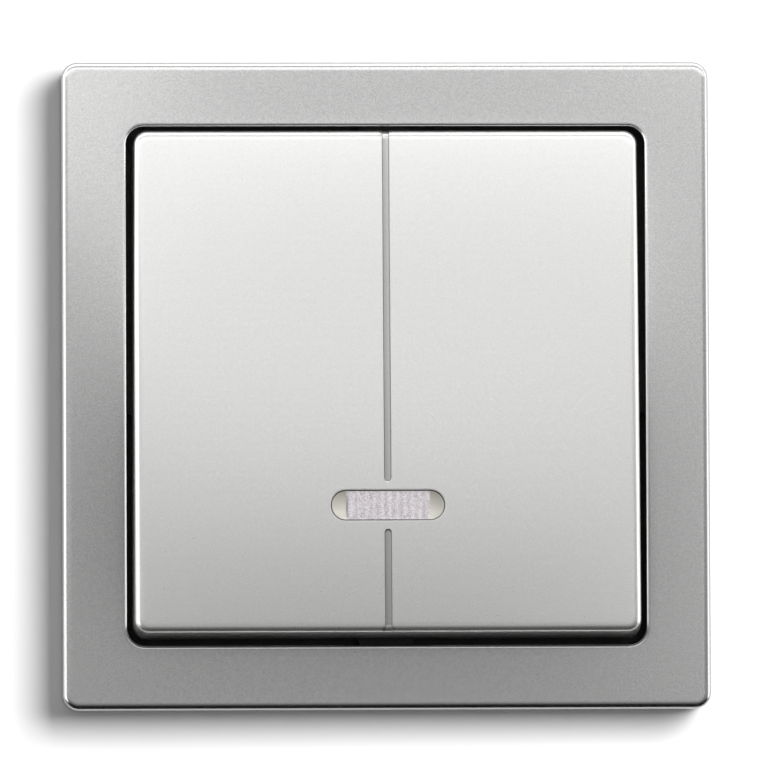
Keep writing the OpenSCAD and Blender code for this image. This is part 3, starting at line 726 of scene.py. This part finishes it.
def board(name, center, size, facing, low, high=None):
    """A studio board that only reflections show, its glow from low at its foot to high at its head."""
    f = Vector(facing).normalized()
    u = f.cross(Vector((0, 0, 1))).normalized() if abs(f.z) < 0.9 else Vector((1, 0, 0))
    v = u.cross(f).normalized()
    v = v if v.z > -0.01 else -v
    u, v, c = u * size[0] / 2, v * size[1] / 2, Vector(center)
    mesh = bpy.data.meshes.new(name)
    corners = [c - u - v, c + u - v, c + u + v, c - u + v]
    mesh.from_pydata(corners, [], [(0, 1, 2, 3)])
    mesh.uv_layers.new(name="UVMap").data.foreach_set("uv", [0, 0, 1, 0, 1, 1, 0, 1])
    obj = bpy.data.objects.new(name, mesh)
    bpy.context.scene.collection.objects.link(obj)
    p = Paint(name + "_glow", (0, 0, 0), 1.0)
    glow = p.add("ShaderNodeEmission")
    split = p.add("ShaderNodeSeparateXYZ")
    uv = p.add("ShaderNodeUVMap", uv_map="UVMap")
    p.link(uv.outputs["UV"], split.inputs["Vector"])
    high = low if high is None else high
    p.link(p.spread(split.outputs["Y"], low, high, 0, 1), glow.inputs["Strength"])
    p.link(glow.outputs["Emission"], p.tree.nodes["Material Output"].inputs["Surface"])
    mesh.materials.append(p.material)
    obj.visible_camera = obj.visible_diffuse = obj.visible_shadow = obj.visible_transmission = False


def lamp(name, at, target, size, watts):
    """A soft box that lights the matt surfaces; mirrored in metal it is left out."""
    light = bpy.data.lights.new(name, "AREA")
    light.shape = "RECTANGLE"
    light.size, light.size_y = size
    light.energy = watts
    obj = bpy.data.objects.new(name, light)
    obj.location = at
    obj.rotation_euler = (Vector(target) - Vector(at)).to_track_quat("-Z", "Y").to_euler()
    obj.visible_glossy = False
    bpy.context.scene.collection.objects.link(obj)


def world(light):
    """White where it is seen, mirrored or seen through the lens, and a plain grey level as light."""
    w = bpy.data.worlds.new("studio")
    bpy.context.scene.world = w
    w.use_nodes = True
    tree = w.node_tree
    background = tree.nodes["Background"]
    path = tree.nodes.new("ShaderNodeLightPath")
    strength = None
    for ray in ("Is Camera Ray", "Is Glossy Ray", "Is Transmission Ray"):
        most = tree.nodes.new("ShaderNodeMath")
        most.operation = "MAXIMUM"
        most.inputs[1].default_value = light
        tree.links.new(path.outputs[ray], most.inputs[0])
        if strength:
            tree.links.new(strength, most.inputs[1])
        strength = most.outputs["Value"]
    tree.links.new(strength, background.inputs["Strength"])
    background.inputs["Color"].default_value = (1, 1, 1, 1)


wall()
world(0.26)
lamp("key_box", (0.25, -0.60, 0.155), (0, 0, 0), (0.36, 0.34), 6.0)
board("front_board", (0, -0.17, 0.0375), (0.17, 0.225), (0, 1, 0), 0.42, 0.88)
board("right_glow", (0.066, -0.168, 0.0), (0.04, 0.15), (0, 1, 0), 0.50, 0.98)
board("foot_board", (0.002, -0.168, -0.006), (0.068, 0.036), (0, 1, 0), 0.02, 0.30)
board("middle_board", (0.007, -0.168, 0.025), (0.070, 0.026), (0, 1, 0), 1.05, 1.4)
board("head_board", (0.007, -0.167, 0.048), (0.06, 0.014), (0, 1, 0), 0.52)
board("sheen_board", (0, -0.165, 0.10), (0.5, 0.07), (0, 1, 0), 1.8)
board("upper_strip", (0, -0.165, 0.185), (0.5, 0.10), (0, 1, 0), 0.5)
board("corner_board", (-0.055, -0.165, 0.055), (0.06, 0.05), (0, 1, 0), 1.2)
board("left_strip", (-0.17, -0.17, 0.0375), (0.17, 0.225), (0, 1, 0), 0.42, 0.90)
board("right_strip", (0.17, -0.17, 0.0375), (0.17, 0.225), (0, 1, 0), 0.26, 0.66)
board("left_board", (-0.345, -0.09, 0.0), (0.30, 0.5), (0.46, 0.89, 0), 2.2)
board("right_board", (0.39, -0.075, 0.0), (0.23, 0.5), (-0.46, 0.89, 0), 2.2)
board("top_board", (0, -0.12, 0.24), (0.6, 0.2), (0, 0, -1), 2.4)
board("dark_table", (0, -0.12, -0.16), (1.0, 0.4), (0, 0, 1), 0.01)
board("dark_foot", (0, -0.17, -0.115), (0.5, 0.08), (0, 1, 0), 0.03, 0.3)

# ---- Camera ----

VIEW_W = 0.0955
DISTANCE = 1.3
azimuth, elevation, roll = math.radians(-2.4), math.radians(-2.6), math.radians(-0.24)
aim = Vector((-0.0003, -0.0085, 0.00015))
SENSOR = 36
camera = bpy.data.cameras.new("camera")
camera.sensor_width = SENSOR
camera.lens = SENSOR * DISTANCE / VIEW_W
camera.clip_start = 0.01
eye = bpy.data.objects.new("camera", camera)
back = Vector((math.sin(azimuth) * math.cos(elevation), -math.cos(azimuth) * math.cos(elevation),
    math.sin(elevation)))
eye.location = aim + back * DISTANCE
facing = (-back).to_track_quat("-Z", "Y").to_matrix()
eye.rotation_euler = (facing @ Matrix.Rotation(roll, 3, "Z")).to_euler()
bpy.context.scene.collection.objects.link(eye)
bpy.context.scene.camera = eye
bpy.context.scene.view_settings.view_transform = "Standard"

bpy.context.view_layer.update()
